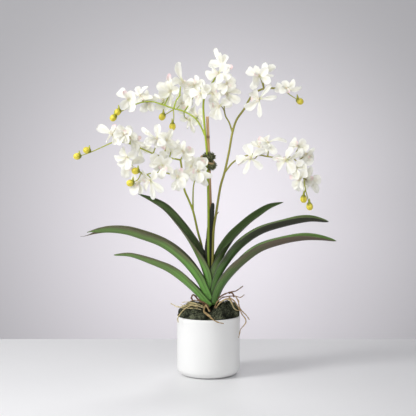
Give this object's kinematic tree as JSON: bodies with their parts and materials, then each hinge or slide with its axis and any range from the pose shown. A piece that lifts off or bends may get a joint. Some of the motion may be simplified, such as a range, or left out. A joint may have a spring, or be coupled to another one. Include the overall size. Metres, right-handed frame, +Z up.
{
  "type": "potted orchid",
  "caption": "Orchid of the vanda kind with strap leaves, branching sprays of small white flowers and buds, and a bamboo cane, in a plain cylindrical pot.",
  "frame": {"origin": "centre of the pot's foot, on the surface that the pot stands on", "axes": "+Z up along the pot, -Y to the front that the flowers face, +X to the right seen from the front"},
  "size_m": [0.4866, 0.1402, 0.6118],
  "materials": {
    "pot_glaze": "smooth white glaze with a soft shine",
    "potting_mix": "loose dark bark",
    "moss": "matt, tufted",
    "rootstock": "rough",
    "root": "dry and matt",
    "leaf": "satin green with brown edges",
    "stem": "satin yellow-green",
    "bud": "satin yellow-green",
    "petal": "thin, soft and matt",
    "bamboo": "smooth dry cane",
    "raffia": "dry fibre"
  },
  "bodies": {
    "root": {"bamboo_stake": "bamboo", "buds_lower_left_end": "bud", "buds_lower_left_inner": "bud", "buds_lower_right_end": "bud", "buds_upper_left_end": "bud", "buds_upper_left_middle": "bud", "buds_upper_right_end": "bud", "flower_crown_1": "petal", "flower_crown_2": "petal", "flower_crown_3": "petal", "flower_crown_4": "petal", "flower_lower_left_1": "petal", "flower_lower_left_10": "petal", "flower_lower_left_11": "petal", "flower_lower_left_2": "petal", "flower_lower_left_3": "petal", "flower_lower_left_4": "petal", "flower_lower_left_5": "petal", "flower_lower_left_6": "petal", "flower_lower_left_7": "petal", "flower_lower_left_8": "petal", "flower_lower_left_9": "petal", "flower_lower_right_1": "petal", "flower_lower_right_2": "petal", "flower_lower_right_3": "petal", "flower_lower_right_4": "petal", "flower_lower_right_5": "petal", "flower_upper_left_1": "petal", "flower_upper_left_2": "petal", "flower_upper_left_3": "petal", "flower_upper_left_4": "petal", "flower_upper_left_5": "petal", "flower_upper_left_6": "petal", "flower_upper_left_7": "petal", "flower_upper_right_1": "petal", "flower_upper_right_2": "petal", "flower_upper_right_3": "petal", "flower_upper_right_4": "petal", "leaf_centre": "leaf", "leaf_long_left": "leaf", "leaf_lower_left": "leaf", "leaf_lower_right": "leaf", "leaf_middle_right": "leaf", "leaf_upper_left": "leaf", "leaf_upper_right": "leaf", "moss_bed": "moss", "pot": "pot_glaze", "potting_mix": "potting_mix", "root_front": "root", "root_left_high": "root", "root_left_low": "root", "root_right_high": "root", "root_right_low": "root", "rootstock": "rootstock", "stem_centre": "stem", "stem_left": "stem", "stem_right": "stem", "tie_moss_lower": "moss", "tie_moss_upper": "moss", "tie_raffia": "raffia"}
  },
  "joints": []
}
